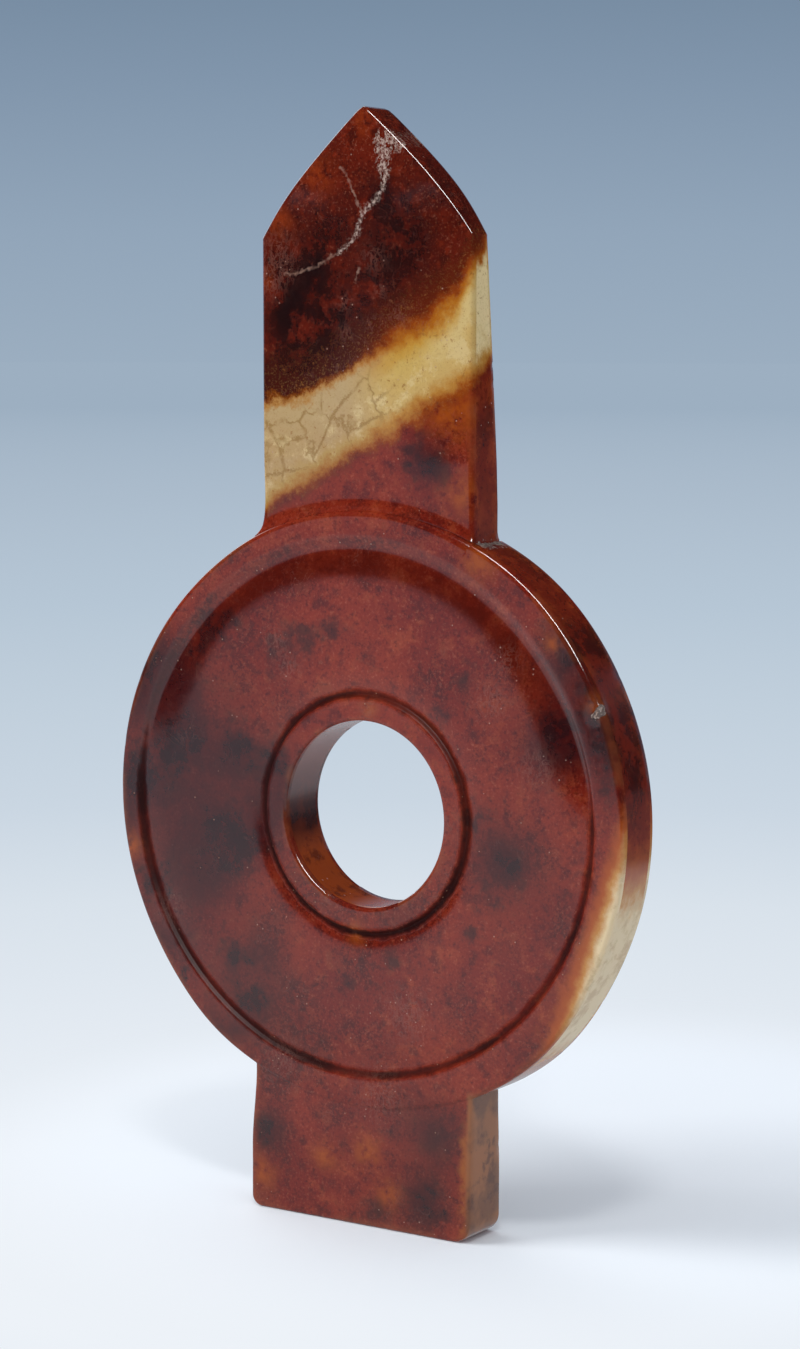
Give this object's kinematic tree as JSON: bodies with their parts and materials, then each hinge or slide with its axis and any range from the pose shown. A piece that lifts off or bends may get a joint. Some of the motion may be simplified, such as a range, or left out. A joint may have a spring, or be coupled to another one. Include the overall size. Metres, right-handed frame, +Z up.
{
  "type": "jade gui tablet",
  "caption": "Upright ritual jade tablet: a pointed gui blade over a bi disc with raised rim, collar and drilled hole, on a plain rectangular foot.",
  "frame": {"origin": "middle of the foot's flat underside, on the surface that the tablet stands on", "axes": "+Z up from the foot through the disc to the blade's point, -Y out of the front face, +X to the right seen from the front"},
  "size_m": [0.13, 0.0132, 0.241],
  "materials": {
    "jade": "polished russet nephrite with a honey band, slightly translucent at thin edges"
  },
  "bodies": {
    "root": {"jade_tablet": "jade"}
  },
  "joints": []
}
